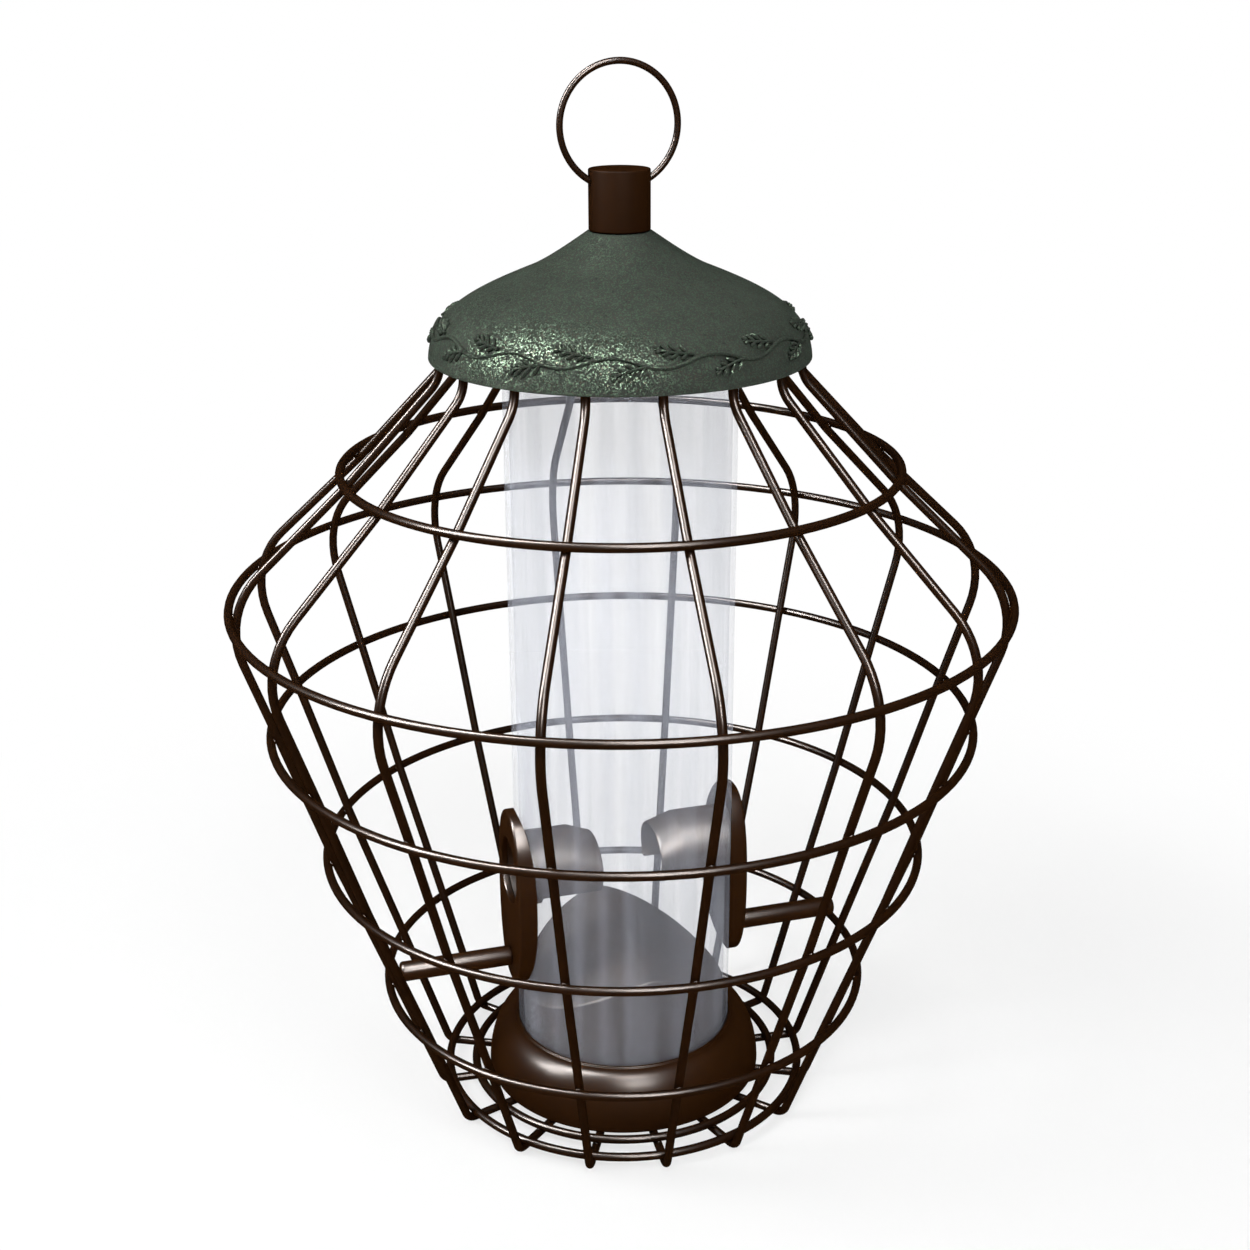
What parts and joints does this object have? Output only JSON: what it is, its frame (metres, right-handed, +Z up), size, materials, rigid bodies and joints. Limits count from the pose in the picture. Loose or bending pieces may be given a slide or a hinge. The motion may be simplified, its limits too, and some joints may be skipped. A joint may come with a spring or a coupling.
{
  "type": "squirrel-proof bird feeder",
  "caption": "Caged seed feeder: clear tube with two perch ports on a dish base, inside a flared wire cage, under a domed lid with a screw collar and hanging ring.",
  "frame": {"origin": "on the surface that the cage stands on, below the seed tube's axis", "axes": "+Z up along the seed tube, +X out through one seed port, +Y to the left of it"},
  "size_m": [0.2594, 0.2594, 0.3539],
  "materials": {
    "cage_paint": "semi-gloss dark brown powder coat on steel wire",
    "brown_plastic": "glossy dark brown moulded plastic",
    "clear_plastic": "clear tube with a faint milky veil",
    "lid_paint": "green hammered metallic paint with fine sparkle",
    "plated_steel": "zinc plated"
  },
  "bodies": {
    "feeder": {"cage_upright_01": "cage_paint", "cage_upright_02": "cage_paint", "cage_upright_03": "cage_paint", "cage_upright_04": "cage_paint", "cage_upright_05": "cage_paint", "cage_upright_06": "cage_paint", "cage_upright_07": "cage_paint", "cage_upright_08": "cage_paint", "cage_upright_09": "cage_paint", "cage_upright_10": "cage_paint", "cage_upright_11": "cage_paint", "cage_upright_12": "cage_paint", "cage_upright_13": "cage_paint", "cage_upright_14": "cage_paint", "cage_upright_15": "cage_paint", "cage_upright_16": "cage_paint", "lower_hoop": "cage_paint", "middle_hoop": "cage_paint", "upper_hoop": "cage_paint", "widest_hoop": "cage_paint", "shoulder_hoop": "cage_paint", "outer_foot_ring": "cage_paint", "inner_foot_ring": "cage_paint", "cage_top_ring": "cage_paint", "cage_hub_plate": "plated_steel", "base_screw": "plated_steel", "base_dish": "brown_plastic", "seed_deflector": "brown_plastic", "seed_tube": "clear_plastic", "port_flange_right": "brown_plastic", "port_flange_left": "brown_plastic", "port_hood_right": "brown_plastic", "port_hood_left": "brown_plastic", "perch_right": "brown_plastic", "perch_left": "brown_plastic", "top_bridge": "brown_plastic", "bridge_stud": "plated_steel"},
    "lid": {"lid": "lid_paint"},
    "collar": {"hanger_collar": "brown_plastic", "collar_retainer": "plated_steel"},
    "hanger": {"hanging_ring": "cage_paint"}
  },
  "joints": [
    {"name": "lid_lift", "type": "slide", "parent": "feeder", "child": "lid", "axis": [0, 0, 1], "range_m": [0, 0.12]},
    {"name": "collar_turn", "type": "hinge", "parent": "lid", "child": "collar", "pos_m": [0, 0, 0.30226], "axis": [0, 0, 1], "continuous": true},
    {"name": "ring_swing", "type": "hinge", "parent": "collar", "child": "hanger", "pos_m": [0, 0, 0.31756], "axis": [1, 0, 0], "range_deg": [-125, 125]}
  ]
}
